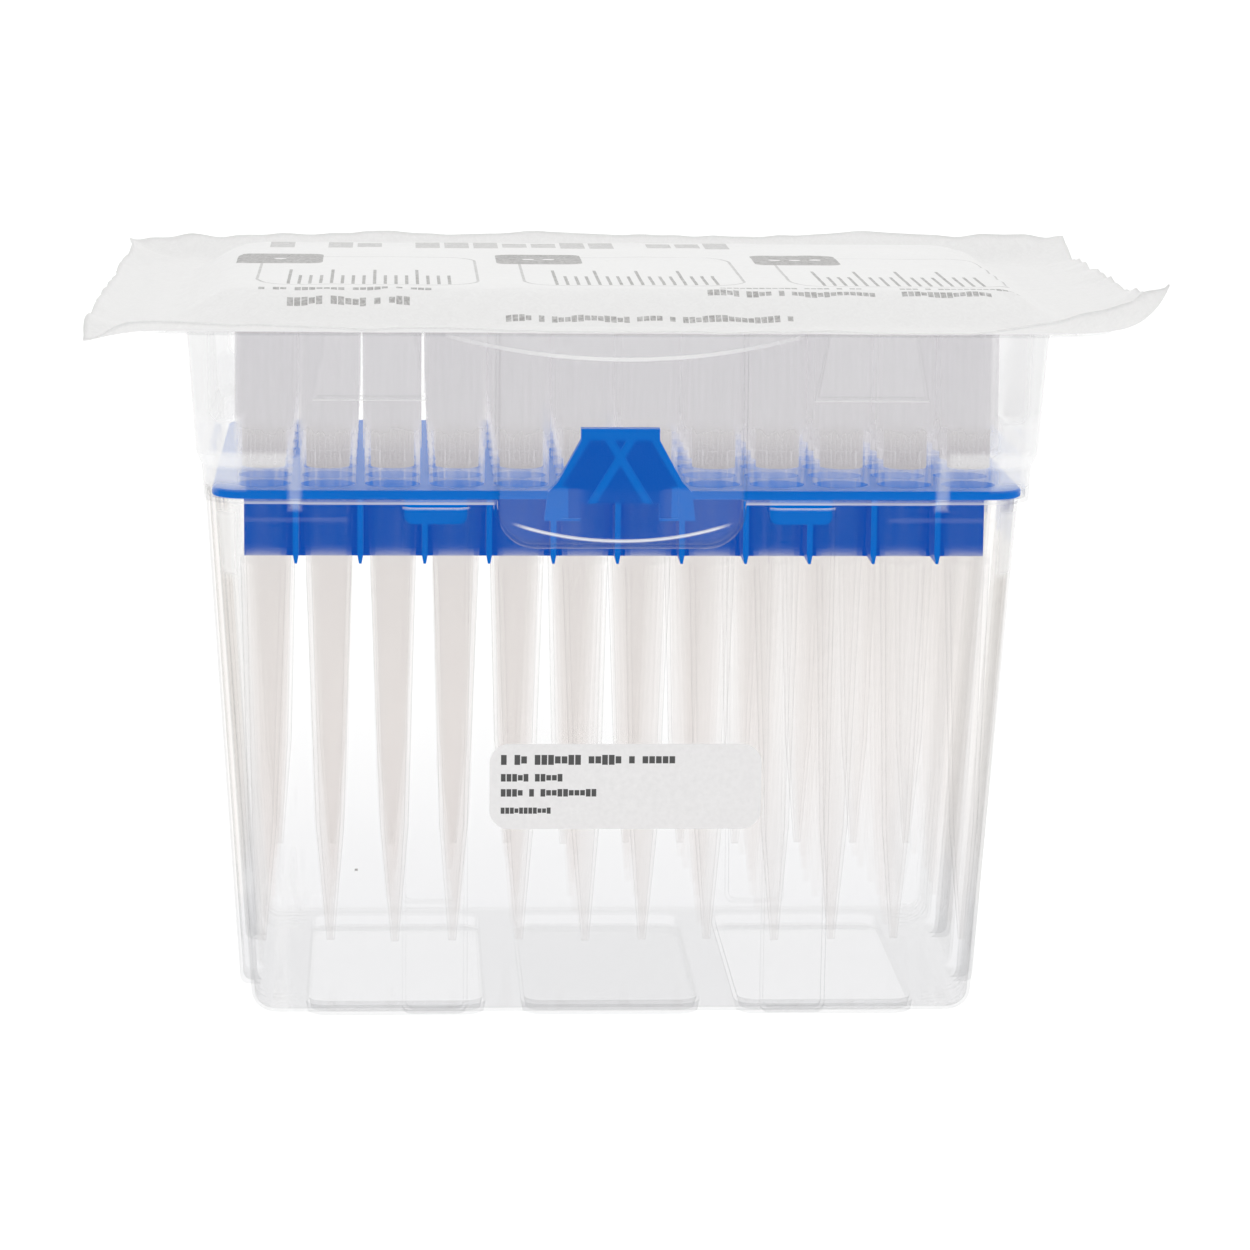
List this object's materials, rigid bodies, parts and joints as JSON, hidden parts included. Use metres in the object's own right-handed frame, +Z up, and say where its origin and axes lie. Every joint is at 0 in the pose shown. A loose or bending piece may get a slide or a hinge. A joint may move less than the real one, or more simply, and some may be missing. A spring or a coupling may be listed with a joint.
{
  "type": "box of pipette tips",
  "caption": "Sealed refill box of filter pipette tips: clear formed tub with a peel-off lid sheet, and inside it a blue rack that holds long translucent tips in a grid.",
  "frame": {"origin": "on the table under the middle of the tub, in the plane of its feet", "axes": "+X along the long side, +Y from the labelled front towards the back, +Z up"},
  "size_m": [0.149, 0.108, 0.1058],
  "materials": {
    "tub_clear": "clear formed plastic sheet, glossy, thin",
    "rack_blue": "moulded polypropylene, satin, strong blue",
    "lid_sheet": "white nonwoven sheet of bonded fibres, faintly translucent, grey print",
    "label_film": "light grey printed film label, matt",
    "tip_natural": "natural polypropylene, translucent, smooth",
    "filter_white": "porous sintered polyethylene, off-white, matt"
  },
  "bodies": {
    "root": {"tub": "tub_clear", "rack": "rack_blue", "lid": "lid_sheet", "label": "label_film", "tips_column_01": "tip_natural", "tips_column_02": "tip_natural", "tips_column_03": "tip_natural", "tips_column_04": "tip_natural", "tips_column_05": "tip_natural", "tips_column_06": "tip_natural", "tips_column_07": "tip_natural", "tips_column_08": "tip_natural", "tips_column_09": "tip_natural", "tips_column_10": "tip_natural", "tips_column_11": "tip_natural", "tips_column_12": "tip_natural", "filters_column_01": "filter_white", "filters_column_02": "filter_white", "filters_column_03": "filter_white", "filters_column_04": "filter_white", "filters_column_05": "filter_white", "filters_column_06": "filter_white", "filters_column_07": "filter_white", "filters_column_08": "filter_white", "filters_column_09": "filter_white", "filters_column_10": "filter_white", "filters_column_11": "filter_white", "filters_column_12": "filter_white"}
  },
  "joints": []
}
